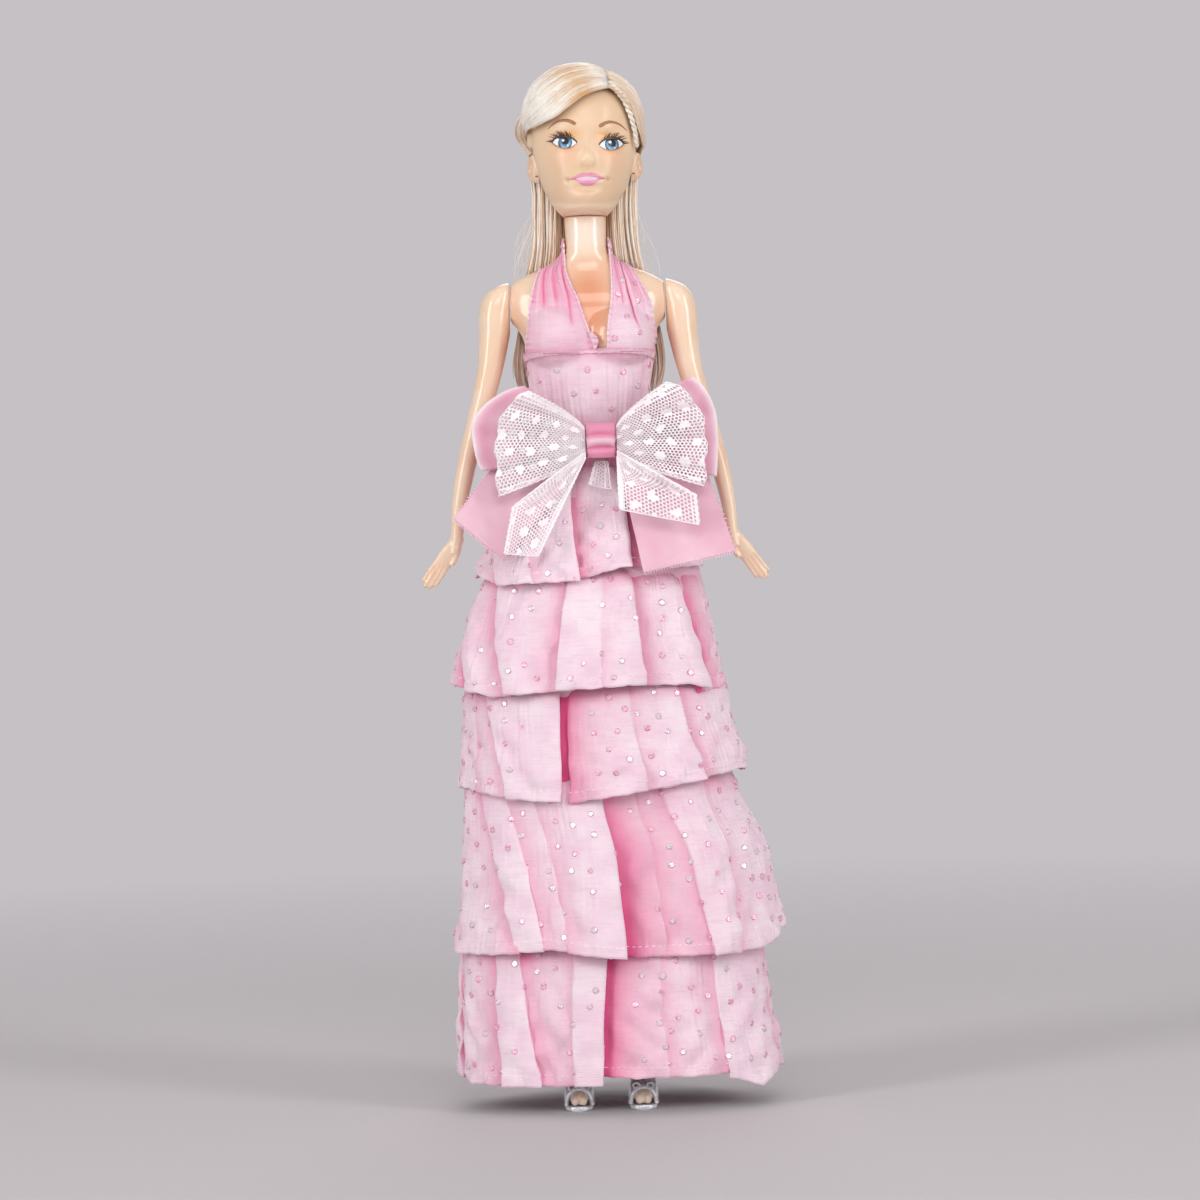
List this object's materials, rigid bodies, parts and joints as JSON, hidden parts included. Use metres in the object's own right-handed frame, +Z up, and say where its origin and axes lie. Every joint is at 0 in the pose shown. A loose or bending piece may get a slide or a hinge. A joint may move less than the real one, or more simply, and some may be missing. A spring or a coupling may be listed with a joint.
{
  "type": "fashion doll",
  "caption": "Slim fashion doll standing in high-heeled sandals, in a long tiered halter gown with a double ribbon bow; head, arms and hips turn.",
  "frame": {"origin": "on the floor midway between the soles, under the middle of the body", "axes": "+Z up along the body, the doll faces -Y, its own left hand is at +X"},
  "size_m": [0.1026, 0.059, 0.2978],
  "materials": {
    "skin": "smooth light skin-coloured vinyl",
    "inner": "plain moulded",
    "hair": "rooted pale blonde fibre",
    "gown": "pale pink crinkled cotton with foil dots",
    "satin": "pink satin ribbon",
    "lace": "white dotted net lace",
    "tape": "hook and loop tape",
    "silver": "metallic silver"
  },
  "bodies": {
    "torso": {"torso_front": "skin", "torso_back": "skin", "neck_knob": "inner", "hip_axle": "inner", "bodice_waist_panel": "gown", "bodice_cup_left": "gown", "bodice_cup_right": "gown", "underbust_band": "gown", "neck_strap": "gown", "closure_strip_left": "tape", "closure_strip_right": "tape", "flounce_1": "gown", "bow_knot": "satin", "lace_end": "lace", "satin_loop_left": "satin", "satin_loop_right": "satin", "satin_tail_left": "satin", "satin_tail_right": "satin", "lace_loop_left": "lace", "lace_loop_right": "lace", "lace_tail_left": "lace", "lace_tail_right": "lace"},
    "head": {"head_shell": "skin", "hair_cap": "hair", "hair_fringe": "hair", "hair_side_roll": "hair", "hair_twist": "hair", "hair_fall": "hair"},
    "arm_left": {"arm_left": "skin"},
    "arm_right": {"arm_right": "skin"},
    "leg_left": {"leg_left": "skin", "shoe_left": "silver"},
    "leg_right": {"leg_right": "skin", "shoe_right": "silver"},
    "skirt": {"underskirt": "gown", "flounce_2": "gown", "flounce_3": "gown", "flounce_4": "gown", "flounce_5": "gown"}
  },
  "joints": [
    {"name": "neck_turn", "type": "hinge", "parent": "torso", "child": "head", "pos_m": [0, 0.0005, 0.2533], "axis": [0, 0, 1], "range_deg": [-90, 90], "deforming": ["hair_fall"]},
    {"name": "left_shoulder", "type": "hinge", "parent": "torso", "child": "arm_left", "pos_m": [0.022, 0.0005, 0.2285], "axis": [-1, 0, 0], "continuous": true, "deforming": ["satin_loop_left", "satin_tail_left", "lace_loop_left", "lace_tail_left"]},
    {"name": "right_shoulder", "type": "hinge", "parent": "torso", "child": "arm_right", "pos_m": [-0.022, 0.0005, 0.2285], "axis": [-1, 0, 0], "continuous": true, "deforming": ["satin_loop_right", "satin_tail_right", "lace_loop_right", "lace_tail_right"]},
    {"name": "left_hip", "type": "hinge", "parent": "torso", "child": "leg_left", "pos_m": [0, 0.0005, 0.15], "axis": [-1, 0, 0], "range_deg": [-20, 90], "deforming": ["flounce_1", "lace_end"]},
    {"name": "right_hip", "type": "hinge", "parent": "torso", "child": "leg_right", "pos_m": [0, 0.0005, 0.15], "axis": [-1, 0, 0], "range_deg": [-20, 90]},
    {"name": "skirt_swing", "type": "hinge", "parent": "torso", "child": "skirt", "pos_m": [0, 0.0005, 0.15], "axis": [-1, 0, 0], "range_deg": [-20, 90], "deforming": ["underskirt", "flounce_2"]}
  ],
  "couplings": [
    {"joint": "right_hip", "follows": "left_hip", "ratio": 1},
    {"joint": "skirt_swing", "follows": "left_hip", "ratio": 1}
  ]
}
